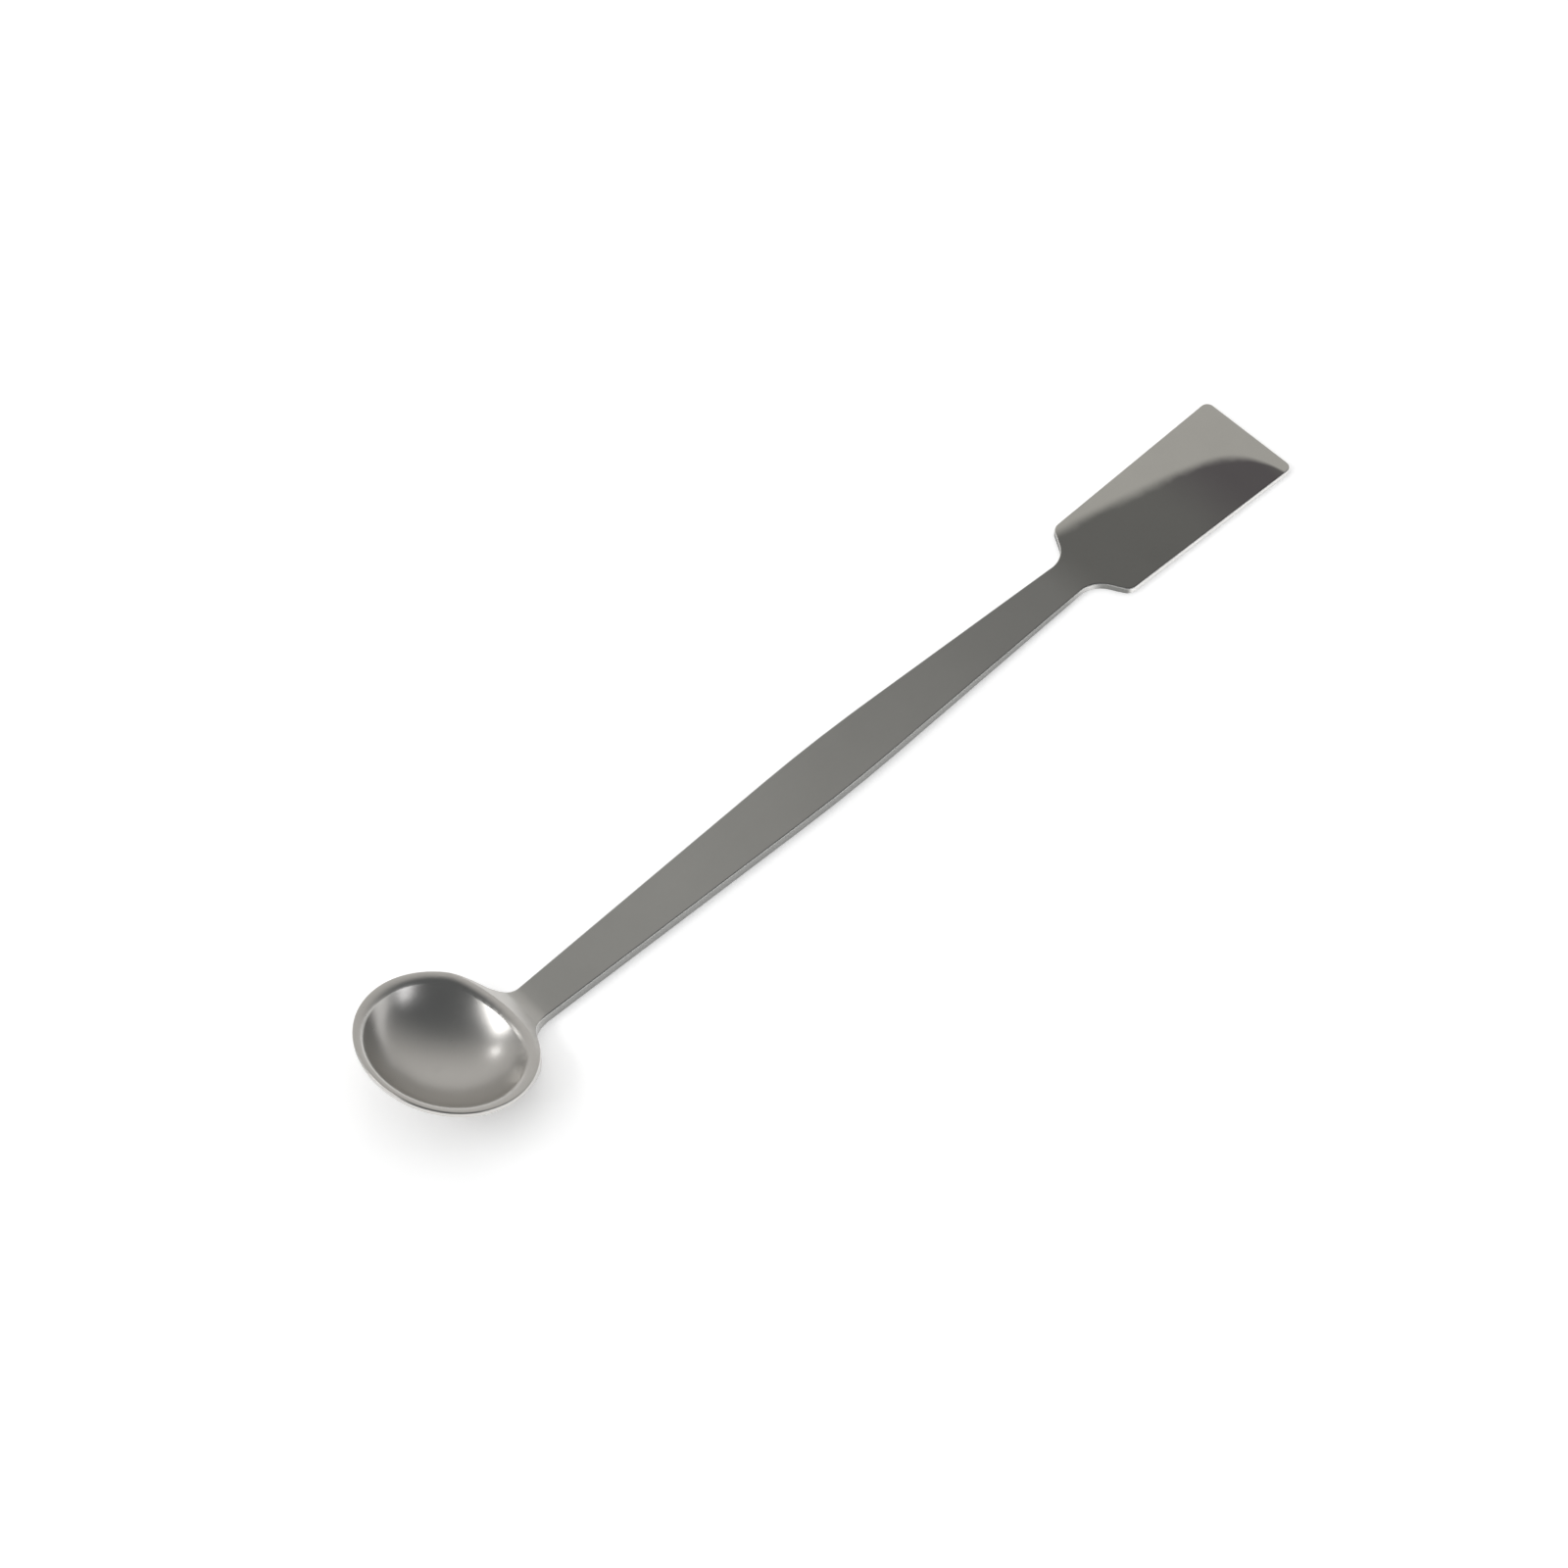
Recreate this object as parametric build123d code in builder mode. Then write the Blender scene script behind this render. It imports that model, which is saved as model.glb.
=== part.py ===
from build123d import *
import math
import os

os.makedirs("parts", exist_ok=True)

# Lab spoon spatula, pressed and ground from one bar of stainless steel.
# Millimetres. +X runs from the spoon to the blade, +Z is up from the flat underside it lies on.
# The origin is half way along, on the middle line, at the level of that underside.

# overall
overall_length = 180.0
spoon_tip_x = -overall_length / 2
blade_tip_x = overall_length / 2

# handle: a flat bar, widest near the middle and drawn in at both ends
handle_thickness = 2.0
belly_x = -2.5
belly_width = 9.8
belly_radius = 300.0
spoon_root_width = 5.4
edge_radius = 0.25

# blade: flat, thinner than the handle, a little wider at its tip than at its shoulders
blade_length = 36.1
blade_shoulder_thickness = 1.3
blade_tip_thickness = 1.1
blade_tip_width = 18.5
blade_shoulder_width = 16.8
blade_neck_width = 6.1
shoulder_run = 3.1
tip_corner_radius = 1.3
shoulder_corner_radius = 2.0
blade_neck_radius = 4.5
thinning_length = 45.0
thinning_blend = 400.0

# spoon: a round dished bowl whose rim leans back, far side up
bowl_diameter = 26.8
bowl_lean = 18.7
bowl_depth = 7.7
bowl_wall = 1.0
rim_thickness = 1.1
rim_inset = 0.2
rim_near_height = 5.0
rim_inner_radius = 1.6
flare_radius = 4.5
neck_thickness = 2.5
crest_inset = 4.0
cove_angle = 38.0
cove_radius = 4.0
crest_radius = 6.0
overshoot = 3.0
shortest_run = 0.01

# a rounded edge takes less than half of the thinnest wall it is on, and a lip less than its land
edge_share = 0.45
land_share = 0.85
edge_round = min(edge_radius, edge_share * blade_tip_thickness)

# where the bowl sits: the middle of its rim, and the way the rim faces
lean = math.radians(bowl_lean)
cove = math.radians(cove_angle)
bend = cove - lean
bowl_radius = bowl_diameter / 2
rim_run = bowl_radius * math.cos(lean)
rim_rise = bowl_radius * math.sin(lean)
rim_x = spoon_tip_x + rim_run
near_x = rim_x + rim_run
rim_z = rim_near_height + rim_rise
uphill = (-math.cos(lean), 0, math.sin(lean))
rim_normal = (math.sin(lean), 0, math.cos(lean))
rim_plane = Plane(origin=(rim_x, 0, rim_z), x_dir=uphill, z_dir=rim_normal)
section_plane = Plane(origin=(rim_x, 0, rim_z), x_dir=uphill, z_dir=(0, 1, 0))
rim_axis = Axis((rim_x, 0, rim_z), rim_normal)

# the bowl is a part of a hollow ball
shell_radius = bowl_radius - rim_inset
ball_radius = (shell_radius**2 + bowl_depth**2) / (2 * bowl_depth)
ball_rise = ball_radius - bowl_depth
seat_radius = math.sqrt(ball_radius**2 - (ball_rise + rim_thickness) ** 2)
hollow_radius = ball_radius - bowl_wall
mouth_radius = math.sqrt(hollow_radius**2 - ball_rise**2)

# the rounded inner lip takes no more than the land left on top of the rim
rim_land = bowl_radius - edge_round - mouth_radius
wall_slope = math.acos(ball_rise / hollow_radius)
lip_round = min(rim_inner_radius, land_share * rim_land / math.tan(wall_slope / 2))

# stations of the bar in side view
crest_reach = bowl_radius - crest_inset
crest = rim_plane.from_local_coords((-crest_reach, 0, 0))
cove_x = crest.X + (crest.Z - handle_thickness) / math.tan(cove)
under_reach = crest_reach + (rim_thickness - neck_thickness / math.cos(bend)) / math.tan(bend)
under_crest = rim_plane.from_local_coords((-under_reach, 0, -rim_thickness))
under_cove_x = under_crest.X + under_crest.Z / math.tan(cove)
far_top = rim_plane.from_local_coords((bowl_radius + overshoot, 0, 0))
far_under = rim_plane.from_local_coords((bowl_radius + overshoot, 0, -rim_thickness))
shoulder_x = blade_tip_x - blade_length
blade_neck_x = shoulder_x - shoulder_run
thinning_x = shoulder_x - thinning_length


def corner(sketch, x, y):
    return sketch.vertices().sort_by_distance((x, y, 0))[0]


def runs_along(edge):
    return edge.bounding_box().size.X > shortest_run


with BuildPart() as spatula:
    # outline from above: blade, handle and the round of the spoon
    with BuildSketch(Plane.XY.offset(-overshoot)) as outline:
        with BuildLine():
            Polyline(
                (rim_x, spoon_root_width / 2),
                (belly_x, belly_width / 2),
                (blade_neck_x, blade_neck_width / 2),
                (shoulder_x, blade_shoulder_width / 2),
                (blade_tip_x, blade_tip_width / 2),
                (blade_tip_x, -blade_tip_width / 2),
                (shoulder_x, -blade_shoulder_width / 2),
                (blade_neck_x, -blade_neck_width / 2),
                (belly_x, -belly_width / 2),
                (rim_x, -spoon_root_width / 2),
                close=True,
            )
        make_face()
        for side in (1, -1):
            fillet(corner(outline, belly_x, side * belly_width / 2), belly_radius)
            fillet(corner(outline, blade_neck_x, side * blade_neck_width / 2), blade_neck_radius)
            fillet(corner(outline, shoulder_x, side * blade_shoulder_width / 2), shoulder_corner_radius)
            fillet(corner(outline, blade_tip_x, side * blade_tip_width / 2), tip_corner_radius)
        with Locations((rim_x, 0)):
            Ellipse(rim_run, bowl_radius)
    extrude(amount=far_top.Z + 2 * overshoot)

    # the handle sides flare into the round of the spoon
    upright = spatula.edges().filter_by(Axis.Z)
    fillet(upright.filter_by_position(Axis.X, rim_x + rim_run / 2, near_x + overshoot), flare_radius)

    # side view: level handle thinned towards the blade, and cranked up to the leaning rim
    with BuildSketch(Plane.XZ) as side_view:
        with BuildLine():
            Polyline(
                (far_top.X, far_top.Z),
                (crest.X, crest.Z),
                (cove_x, handle_thickness),
                (thinning_x, handle_thickness),
                (shoulder_x, blade_shoulder_thickness),
                (blade_tip_x + overshoot, blade_tip_thickness),
                (blade_tip_x + overshoot, 0),
                (under_cove_x, 0),
                (under_crest.X, under_crest.Z),
                (far_under.X, far_under.Z),
                close=True,
            )
        make_face()
        fillet(corner(side_view, crest.X, crest.Z), crest_radius)
        fillet(corner(side_view, cove_x, handle_thickness), cove_radius)
        fillet(corner(side_view, under_crest.X, under_crest.Z), crest_radius)
        fillet(corner(side_view, under_cove_x, 0), cove_radius + neck_thickness)
        fillet(corner(side_view, thinning_x, handle_thickness), thinning_blend)
        fillet(corner(side_view, shoulder_x, blade_shoulder_thickness), thinning_blend)
    extrude(amount=blade_tip_width, both=True, mode=Mode.INTERSECT)

    # every outer edge is rounded by tumbling
    tip_edges = spatula.edges().filter_by(Axis.Y).group_by(Axis.X)[-1]
    long_edges = spatula.edges().filter_by(runs_along).filter_by(Axis.Y, reverse=True)
    fillet(long_edges + tip_edges, edge_round)

    # the underside of the bowl
    with BuildSketch(section_plane) as dome_section:
        with BuildLine():
            Line((0, -rim_thickness), (0, -bowl_depth))
            RadiusArc((0, -bowl_depth), (seat_radius, -rim_thickness), -ball_radius)
            Line((seat_radius, -rim_thickness), (0, -rim_thickness))
        make_face()
    revolve(axis=rim_axis)

    # the hollow of the bowl
    with BuildSketch(section_plane) as hollow_section:
        with BuildLine():
            Line((0, overshoot), (0, -bowl_depth + bowl_wall))
            RadiusArc((0, -bowl_depth + bowl_wall), (mouth_radius, 0), -hollow_radius)
            Line((mouth_radius, 0), (mouth_radius, overshoot))
            Line((mouth_radius, overshoot), (0, overshoot))
        make_face()
    revolve(axis=rim_axis, mode=Mode.SUBTRACT)
    hollow = spatula.faces(Select.LAST).filter_by(GeomType.SPHERE)
    fillet(hollow.edges(), lip_round)

spatula.part.label = "spatula"
export_step(spatula.part, "parts/spatula.step")
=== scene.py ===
import math
from typing import NamedTuple

import bpy
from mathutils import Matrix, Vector


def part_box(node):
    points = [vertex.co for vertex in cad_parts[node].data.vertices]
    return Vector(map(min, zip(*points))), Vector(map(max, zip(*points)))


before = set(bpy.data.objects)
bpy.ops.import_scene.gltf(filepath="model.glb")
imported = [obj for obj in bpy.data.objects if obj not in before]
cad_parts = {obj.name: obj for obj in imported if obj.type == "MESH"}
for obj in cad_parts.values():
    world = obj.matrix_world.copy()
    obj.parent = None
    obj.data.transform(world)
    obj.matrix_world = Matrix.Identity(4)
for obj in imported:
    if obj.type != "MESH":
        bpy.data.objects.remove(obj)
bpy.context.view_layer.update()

bl_info = {
    "name": "Lab spoon spatula",
    "version": (1, 0, 0),
    "blender": (4, 5, 0),
    "location": "3D View > Sidebar > Spatula",
    "description": "Finishes a one-piece steel lab spatula and sets it on a pale studio floor",
    "category": "Object",
}

# Everything is in metres. +X runs from the spoon to the blade, +Z up from the bench it lies on.
LOW, HIGH = (Vector(corner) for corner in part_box("spatula"))
SPAN = HIGH - LOW

# where one finish runs into the next, and with it the painted shade and reflections: from the blade's
# shoulders, and from the near rim of the bowl
BLADE_BLEND = (-0.010, -0.001)
BOWL_BLEND = (0.004, -0.003)
BAR_BLEND_START = 0.02

# how far a face is turned: the upward part of its normal on edges and sides, the +X part on an end; edges,
# sides and ends get painted highlights, painted reflections and painted shade
EDGE_TURN = (0.97, 0.80)
SIDE_TURN = (0.55, 0.25)
END_TURN = (-0.35, -0.75)

# marks in the steel, in marks to the metre, and the grain's stretch along X, Y and Z
DRIFT_SCALE = 75.0
CLOUD_SCALE = 260.0
MOTTLE_SCALE = 1700.0
BAR_GRAIN = (110.0, 4200.0, 4200.0)
BLADE_GRAIN = (4200.0, 160.0, 4200.0)
BLADE_GRAIN_TURN = (0, 0, math.radians(12))

# the edge of the painted reflection across the blade: a slope back from the tip that dips sharply close to
# it
LINE_SLOPE = 0.17
LINE_RISE = 0.0016
LINE_DIP = 0.000026
LINE_TIP_GAP = 0.0006
LINE_DRIFT = 0.0012
LINE_CLOUDS = 0.0008
LINE_SOFTNESS = (0.0007, 0.0012)
# where the blade's painted reflection is darkest, a few millimetres back from its tip
DEEP_START = (0.022, 0.008)
DEEP_END = (0.0005, 0.004)

# how much the marks change the tone, the roughness and the height of the surface
TONE_BASE, TONE_DRIFT, TONE_CLOUDS, TONE_MOTTLE = 0.90, 0.12, 0.06, 0.03
ROUGH_BASE, ROUGH_DRIFT, ROUGH_CLOUDS, ROUGH_GRAIN, ROUGH_EDGE = -0.07, 0.06, 0.05, 0.05, 0.14
HEIGHT_GRAIN, HEIGHT_MOTTLE = 0.6, 0.4
BUMP_STRENGTH = 0.3
BUMP_DEPTH = 0.00001

# the floor: faint flecks in its colour, and the glow that takes it to white
FLECK_SCALE = 900.0
FLECK_SHARE = 0.02
FLECK_COLOUR = (0.7, 0.7, 0.7, 1)
FLOOR_ROUGHNESS = 0.6
FLOOR_GLOW = 0.32

# the room: its brightness rises towards the window, and its tint turns from cool to warm
WINDOW_WAY = (0.62, 0.72)
ROOM_DIM = 0.12
ROOM_RISE = 0.48
ROOM_RISE_RANGE = (-0.2, 0.85)
ROOM_TINT_RANGE = (-0.3, 0.5)
ROOM_COOL = (0.93, 0.97, 1.0, 1)
ROOM_WARM = (1.0, 0.985, 0.96, 1)

WHITE = (1.0, 1.0, 1.0)
SENSOR_WIDTH = 36.0
NEAREST_SEEN = 0.01

# sockets of a colour Mix node, whose names are shared with its other kinds
MIX_FIRST, MIX_SECOND, MIX_RESULT = 6, 7, 2


class Lamp(NamedTuple):
    """A flat soft lamp: angles in degrees, sizes in metres, radiance as bright as it looks."""

    name: str
    azimuth: float
    elevation: float
    distance: float
    width: float
    height: float
    radiance: float
    colour: tuple = WHITE
    mirrored: bool = True


LAMPS = (
    Lamp("window", 158, 43, 1.2, 0.9, 0.34, 4.4),
    Lamp("small_lamp", 104, 41, 1.2, 0.13, 0.13, 6.0),
    Lamp("low_card", -72, 12, 1.2, 0.42, 0.30, 1.9, colour=(0.97, 0.97, 1.0)),
    Lamp("overhead", 0, 90, 1.5, 2.0, 2.0, 1.2, mirrored=False),
)


class Wire:
    """One output of a node, which sums can be written with."""

    def __init__(self, graph, socket):
        self.graph = graph
        self.socket = socket

    def port(self, name):
        return Wire(self.graph, self.socket.node.outputs[name])

    def _sum(self, operation, first, second):
        return self.graph.add("ShaderNodeMath", {"operation": operation}, {0: first, 1: second})

    def __add__(self, other):
        return self._sum("ADD", self, other)

    def __radd__(self, other):
        return self._sum("ADD", other, self)

    def __sub__(self, other):
        return self._sum("SUBTRACT", self, other)

    def __rsub__(self, other):
        return self._sum("SUBTRACT", other, self)

    def __mul__(self, other):
        return self._sum("MULTIPLY", self, other)

    def __rmul__(self, other):
        return self._sum("MULTIPLY", other, self)

    def __truediv__(self, other):
        return self._sum("DIVIDE", self, other)

    def __rtruediv__(self, other):
        return self._sum("DIVIDE", other, self)


class Graph:
    """A material's or the world's node tree, emptied and ready for new nodes."""

    def __init__(self, owner):
        owner.use_nodes = True
        self.tree = owner.node_tree
        self.tree.nodes.clear()

    def add(self, kind, settings=None, inputs=None, output=0):
        node = self.tree.nodes.new(kind)
        for name, value in (settings or {}).items():
            setattr(node, name, value)
        for name, value in (inputs or {}).items():
            socket = node.inputs[name]
            if isinstance(value, Wire):
                self.tree.links.new(value.socket, socket)
            else:
                socket.default_value = value
        return Wire(self, node.outputs[output]) if node.outputs else None

    def fade(self, value, start, end):
        """Goes softly from 0 where the value is start to 1 where it is end."""
        return self.add(
            "ShaderNodeMapRange",
            {"interpolation_type": "SMOOTHSTEP"},
            {"Value": value, "From Min": start, "From Max": end},
        )

    def mix(self, factor, first, second, blend="MIX"):
        return self.add(
            "ShaderNodeMix",
            {"data_type": "RGBA", "blend_type": blend},
            {"Factor": factor, MIX_FIRST: first, MIX_SECOND: second},
            output=MIX_RESULT,
        )

    def noise(self, place, scale, detail):
        return self.add("ShaderNodeTexNoise", inputs={"Vector": place, "Scale": scale, "Detail": detail})

    def stretch(self, place, turn, scale):
        return self.add("ShaderNodeMapping", inputs={"Vector": place, "Rotation": turn, "Scale": scale})


def colour_choice(name, description, default):
    return bpy.props.FloatVectorProperty(
        name=name, description=description, subtype="COLOR", size=3, min=0.0, max=1.0, default=default
    )


def length_choice(name, description, default):
    return bpy.props.FloatProperty(
        name=name, description=description, unit="LENGTH", subtype="DISTANCE", min=0.0, default=default
    )


def angle_choice(name, description, degrees):
    return bpy.props.FloatProperty(
        name=name, description=description, subtype="ANGLE", default=math.radians(degrees)
    )


class SteelSettings(bpy.types.PropertyGroup):
    bowl_colour: colour_choice("Bowl", "Colour of the bowl of the spoon", (0.66, 0.645, 0.62))
    # painted shade: the bar is darker than the bowl and darkens further towards the blade, standing for the
    # dimmer room it reflects
    bar_spoon_shaded_colour: colour_choice("Bar at spoon", "Colour of the bar near the spoon", (0.50, 0.50, 0.48))
    bar_blade_shaded_colour: colour_choice("Bar at blade", "Colour of the bar near the blade", (0.30, 0.30, 0.29))
    # painted highlight on the bar's rounded edges
    bar_edge_highlight_colour: colour_choice("Bar edge", "Colour of the bar's rounded edges", (0.62, 0.62, 0.60))
    # painted reflection on the bar's upright sides
    bar_side_reflection_colour: colour_choice("Bar side", "Colour of the bar's upright sides", (0.36, 0.36, 0.35))
    # painted reflection on the blade: dark, darkest near the tip, and bright beyond the curved line
    blade_dark_reflection_colour: colour_choice("Blade dark", "Colour of the blade's dark part", (0.225, 0.225, 0.215))
    blade_deep_shade_colour: colour_choice("Blade deep", "Darkest colour, near the tip", (0.165, 0.155, 0.16))
    blade_bright_reflection_colour: colour_choice("Blade bright", "Colour beyond the curved line", (0.66, 0.65, 0.61))
    # painted highlight on the blade's edges and sides
    blade_edge_highlight_colour: colour_choice("Blade edge", "Colour of the blade's edges", (0.90, 0.89, 0.87))
    # painted shade on the faces turned to the spoon
    shoulder_painted_shade_colour: colour_choice("Shoulder", "Colour of faces turned to the spoon", (0.26, 0.26, 0.25))
    roughness: bpy.props.FloatProperty(
        name="Roughness", description="Roughness of the tumbled bar", default=0.29, min=0.0, max=1.0
    )
    blade_length: length_choice("Blade length", "Length of the blade from its shoulders", 0.0361)


class StageSettings(bpy.types.PropertyGroup):
    floor_colour: colour_choice("Floor colour", "Colour of the pale floor", (0.86, 0.86, 0.86))
    floor_size: length_choice("Floor size", "Side of the floor", 20.0)
    azimuth: angle_choice("Camera azimuth", "Turn of the camera round the spatula", -43.67)
    elevation: angle_choice("Camera elevation", "Height of the camera above the bench", 56.29)
    distance: length_choice("Camera distance", "Distance of the camera from its target", 0.5824)
    target: bpy.props.FloatVectorProperty(
        name="Camera target",
        description="Point the camera looks at",
        size=3,
        default=(-0.00982, 0.002233, 0.002),
        unit="LENGTH",
        subtype="XYZ",
    )
    lens: bpy.props.FloatProperty(
        name="Lens", description="Focal length of the camera in mm", default=90.0, min=1.0
    )


def opaque(colour):
    return (*colour, 1)


def blade_painted_reflection(graph, settings, x, y, drift, clouds):
    """Painted reflection: dark along the blade and bright beyond a curved line, put in the colour where a
    lit room would show in ground steel.
    """
    tip_run = HIGH.x - x
    wander = LINE_DRIFT * (drift - 0.5) + LINE_CLOUDS * (clouds - 0.5)
    line = LINE_SLOPE * tip_run + LINE_RISE - LINE_DIP / (tip_run + LINE_TIP_GAP)
    narrowest, spread = LINE_SOFTNESS
    softness = narrowest + spread * clouds
    bright = graph.fade((y - line + wander) / softness, -1.0, 1.0)
    deep = graph.fade(tip_run, *DEEP_START) * graph.fade(tip_run, *DEEP_END)
    dark = graph.mix(deep, opaque(settings.blade_dark_reflection_colour), opaque(settings.blade_deep_shade_colour))
    return graph.mix(bright, dark, opaque(settings.blade_bright_reflection_colour))


def steel(settings):
    """Stainless steel: a satin bar, a brighter bowl and a ground blade, with light and shade painted into
    its colour: pale painted highlights on the edges, painted reflections on the sides and blade, and
    painted shade along the bar.
    """
    material = bpy.data.materials.new("tumbled_steel_and_painted_reflections")
    graph = Graph(material)
    place = graph.add("ShaderNodeTexCoord", output="Object")
    axes = graph.add("ShaderNodeSeparateXYZ", inputs={0: place})
    x, y = axes.port("X"), axes.port("Y")
    facing = graph.add("ShaderNodeNewGeometry", output="Normal")
    turned = graph.add("ShaderNodeSeparateXYZ", inputs={0: facing})
    upward, onward = turned.port("Z"), turned.port("X")

    # where the bowl, the bar and the blade are, and which faces are edges, sides and ends
    shoulder = HIGH.x - settings.blade_length
    bowl_end = LOW.x + SPAN.y
    blade = graph.fade(x, *(shoulder + run for run in BLADE_BLEND))
    bowl = graph.fade(x, *(bowl_end + run for run in BOWL_BLEND))
    shade_towards_blade = graph.fade(x, bowl_end + BAR_BLEND_START, shoulder)
    edge = graph.fade(upward, *EDGE_TURN) * (1 - bowl)
    side = graph.fade(upward, *SIDE_TURN) * (1 - bowl)
    # faces of the blade turned to the spoon, which get painted shade
    end = graph.fade(onward, *END_TURN) * blade * side

    # marks of the finish, from broad clouds to fine grain
    drift = graph.noise(place, DRIFT_SCALE, 2.0)
    clouds = graph.noise(place, CLOUD_SCALE, 3.0)
    mottle = graph.noise(place, MOTTLE_SCALE, 2.0)
    along = graph.noise(graph.stretch(place, (0, 0, 0), BAR_GRAIN), 1.0, 3.0)
    across = graph.noise(graph.stretch(place, BLADE_GRAIN_TURN, BLADE_GRAIN), 1.0, 3.0)
    grain = along * (1 - blade) + across * blade

    # painted shade: the bar darkens from near the spoon towards the blade
    bar_tone_with_painted_shade = graph.mix(
        shade_towards_blade, opaque(settings.bar_spoon_shaded_colour), opaque(settings.bar_blade_shaded_colour)
    )
    # painted highlight on the rounded edges, paler on the blade
    edge_painted_highlight = graph.mix(blade, opaque(settings.bar_edge_highlight_colour), opaque(settings.blade_edge_highlight_colour))
    # painted reflection on the upright sides, pale on the blade
    side_painted_reflection = graph.mix(blade, opaque(settings.bar_side_reflection_colour), opaque(settings.blade_edge_highlight_colour))
    tone = graph.mix(bowl, bar_tone_with_painted_shade, opaque(settings.bowl_colour))
    # painted reflection on the blade's ground face
    tone = graph.mix(blade, tone, blade_painted_reflection(graph, settings, x, y, drift, clouds))
    tone = graph.mix(edge, tone, edge_painted_highlight)
    tone = graph.mix(side, tone, side_painted_reflection)
    # painted shade on the blade's faces turned to the spoon
    tone = graph.mix(end, tone, opaque(settings.shoulder_painted_shade_colour))
    shade = TONE_BASE + TONE_DRIFT * drift + TONE_CLOUDS * clouds + TONE_MOTTLE * mottle
    shades = graph.add("ShaderNodeCombineColor", inputs={0: shade, 1: shade, 2: shade})
    tone = graph.mix(1.0, tone, shades, "MULTIPLY")

    smear = ROUGH_DRIFT * drift + ROUGH_CLOUDS * clouds + ROUGH_GRAIN * grain
    rough = settings.roughness + ROUGH_BASE + smear + ROUGH_EDGE * edge
    height = HEIGHT_GRAIN * grain + HEIGHT_MOTTLE * mottle
    bump = graph.add(
        "ShaderNodeBump", inputs={"Strength": BUMP_STRENGTH, "Distance": BUMP_DEPTH, "Height": height}
    )
    shader = graph.add(
        "ShaderNodeBsdfPrincipled",
        inputs={"Base Color": tone, "Metallic": 1.0, "Roughness": rough, "Normal": bump},
    )
    graph.add("ShaderNodeOutputMaterial", inputs={"Surface": shader})
    return material


def seen(graph):
    """1 for what the camera sees straight or in a shiny or clear surface, 0 for the light on things."""
    path = graph.add("ShaderNodeLightPath")
    total = path.port("Is Camera Ray") + path.port("Is Glossy Ray") + path.port("Is Transmission Ray")
    return graph.add("ShaderNodeMath", {"operation": "MINIMUM"}, {0: total, 1: 1.0})


def pale_floor(settings):
    """A matt floor with faint flecks, lifted to white where it is looked at."""
    material = bpy.data.materials.new("pale_floor")
    graph = Graph(material)
    place = graph.add("ShaderNodeTexCoord", output="Object")
    fleck = graph.noise(place, FLECK_SCALE, 3.0)
    tone = graph.mix(FLECK_SHARE * fleck, opaque(settings.floor_colour), FLECK_COLOUR)
    diffuse = graph.add("ShaderNodeBsdfDiffuse", inputs={"Color": tone, "Roughness": FLOOR_ROUGHNESS})
    glow = graph.add(
        "ShaderNodeEmission", inputs={"Color": opaque(WHITE), "Strength": FLOOR_GLOW * seen(graph)}
    )
    both = graph.add("ShaderNodeAddShader", inputs={0: diffuse, 1: glow})
    graph.add("ShaderNodeOutputMaterial", inputs={"Surface": both})
    return material


def room(world):
    """A dim room, brighter on the side that the window is on."""
    graph = Graph(world)
    way = graph.add("ShaderNodeTexCoord", output="Generated")
    axes = graph.add("ShaderNodeSeparateXYZ", inputs={0: way})
    side = WINDOW_WAY[0] * axes.port("X") + WINDOW_WAY[1] * axes.port("Y")
    strength = ROOM_DIM + ROOM_RISE * graph.fade(side, *ROOM_RISE_RANGE)
    tint = graph.mix(graph.fade(side, *ROOM_TINT_RANGE), ROOM_COOL, ROOM_WARM)
    background = graph.add("ShaderNodeBackground", inputs={"Color": tint, "Strength": strength})
    graph.add("ShaderNodeOutputWorld", inputs={"Surface": background})


def light(lamp, scene):
    """Hangs a lamp so that it looks at the spatula."""
    data = bpy.data.lights.new(lamp.name, "AREA")
    data.shape = "RECTANGLE"
    data.size = lamp.width
    data.size_y = lamp.height
    data.energy = lamp.radiance * math.pi * lamp.width * lamp.height
    data.color = lamp.colour
    azimuth, elevation = math.radians(lamp.azimuth), math.radians(lamp.elevation)
    away = Vector(
        (
            math.cos(azimuth) * math.cos(elevation),
            math.sin(azimuth) * math.cos(elevation),
            math.sin(elevation),
        )
    )
    item = bpy.data.objects.new(lamp.name, data)
    item.location = away * lamp.distance
    item.rotation_euler = away.to_track_quat("Z", "Y").to_euler()
    item.visible_camera = False
    item.visible_glossy = lamp.mirrored
    scene.collection.objects.link(item)


def add_floor(settings):
    bpy.ops.object.select_all(action="DESELECT")
    bpy.ops.mesh.primitive_plane_add(size=settings.floor_size, location=(0, 0, LOW.z))
    floor = bpy.context.object
    floor.name = "floor"
    bpy.ops.object.transform_apply(location=True, rotation=True, scale=True)
    floor.data.materials.append(pale_floor(settings))


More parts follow.
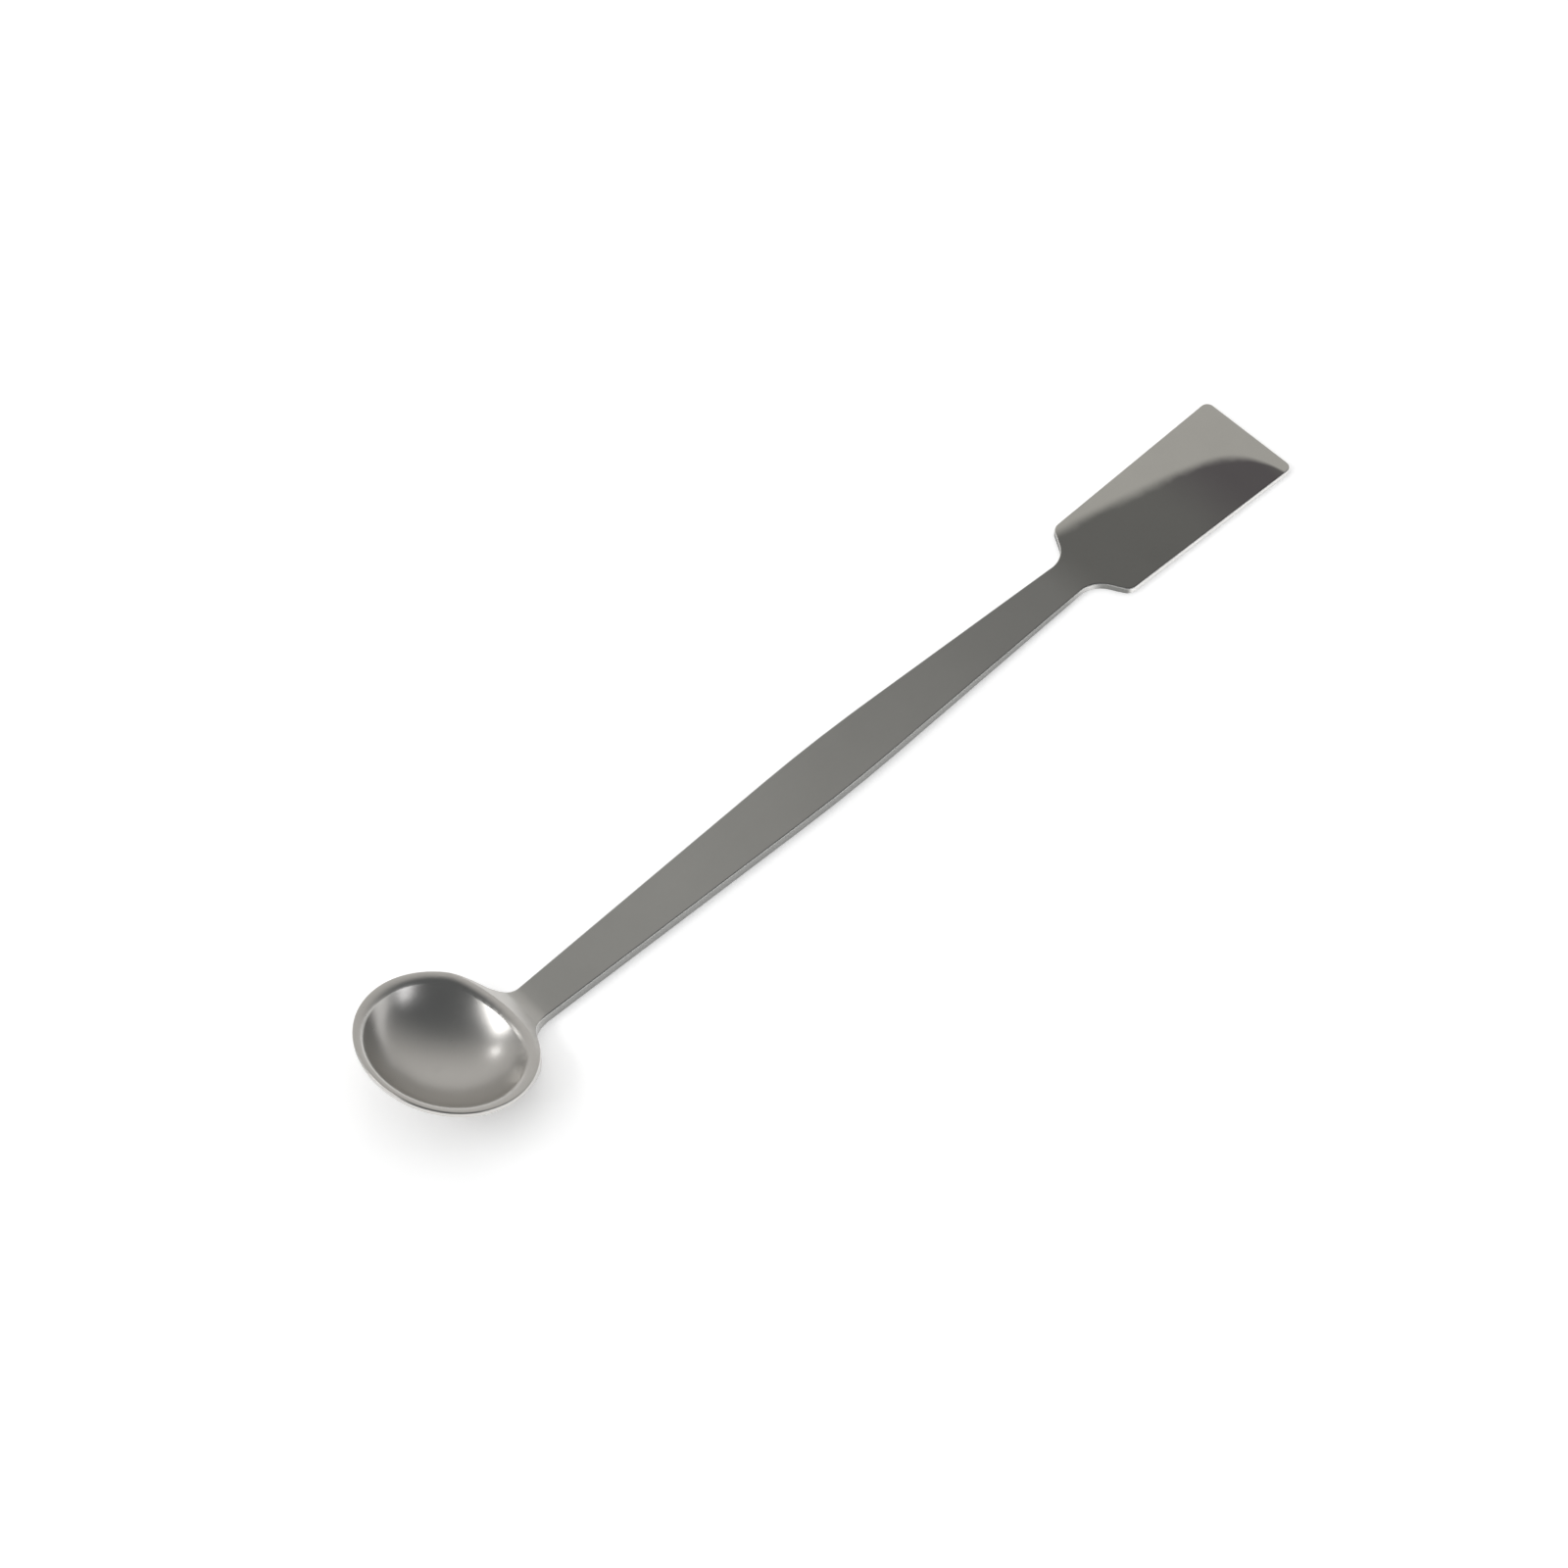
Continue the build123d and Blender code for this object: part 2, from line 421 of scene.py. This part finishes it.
def add_camera(settings, scene):
    data = bpy.data.cameras.new("camera")
    data.lens = settings.lens
    data.sensor_width = SENSOR_WIDTH
    data.clip_start = NEAREST_SEEN
    back = Vector(
        (
            math.sin(settings.azimuth) * math.cos(settings.elevation),
            -math.cos(settings.azimuth) * math.cos(settings.elevation),
            math.sin(settings.elevation),
        )
    )
    camera = bpy.data.objects.new("camera", data)
    camera.location = Vector(settings.target) + back * settings.distance
    camera.rotation_euler = (math.pi / 2 - settings.elevation, 0, settings.azimuth)
    scene.collection.objects.link(camera)
    scene.camera = camera


class SPATULA_OT_finish_steel(bpy.types.Operator):
    """Gives the spatula its tumbled steel, with reflections and shade painted into its colour"""

    bl_idname = "spatula.finish_steel"
    bl_label = "Finish the steel"

    def execute(self, context):
        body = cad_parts["spatula"]
        finish = steel(context.scene.spatula_steel)
        for entry in body.material_slots:
            entry.material = finish
        return {"FINISHED"}


class SPATULA_OT_stage(bpy.types.Operator):
    """Adds the pale floor, the dim room, the soft lamps and the camera"""

    bl_idname = "spatula.stage"
    bl_label = "Set the stage"

    def execute(self, context):
        scene = context.scene
        add_floor(scene.spatula_stage)
        scene.world = bpy.data.worlds.new("room")
        room(scene.world)
        for lamp in LAMPS:
            light(lamp, scene)
        add_camera(scene.spatula_stage, scene)
        scene.view_settings.view_transform = "Standard"
        return {"FINISHED"}


class SPATULA_PT_panel(bpy.types.Panel):
    """Lists the steps and their settings"""

    bl_label = "Lab spoon spatula"
    bl_idname = "SPATULA_PT_panel"
    bl_space_type = "VIEW_3D"
    bl_region_type = "UI"
    bl_category = "Spatula"

    def draw(self, context):
        for kind in OPERATORS:
            self.layout.operator(kind.bl_idname)
        for group in (context.scene.spatula_steel, context.scene.spatula_stage):
            box = self.layout.box()
            for name in group.__annotations__:
                box.prop(group, name)


OPERATORS = (SPATULA_OT_finish_steel, SPATULA_OT_stage)
CLASSES = (SteelSettings, StageSettings, *OPERATORS, SPATULA_PT_panel)


def register():
    for kind in CLASSES:
        bpy.utils.register_class(kind)
    bpy.types.Scene.spatula_steel = bpy.props.PointerProperty(type=SteelSettings)
    bpy.types.Scene.spatula_stage = bpy.props.PointerProperty(type=StageSettings)


def unregister():
    del bpy.types.Scene.spatula_steel
    del bpy.types.Scene.spatula_stage
    for kind in reversed(CLASSES):
        bpy.utils.unregister_class(kind)


def main():
    register()
    bpy.ops.spatula.finish_steel()
    bpy.ops.spatula.stage()


if __name__ == "__main__":
    main()
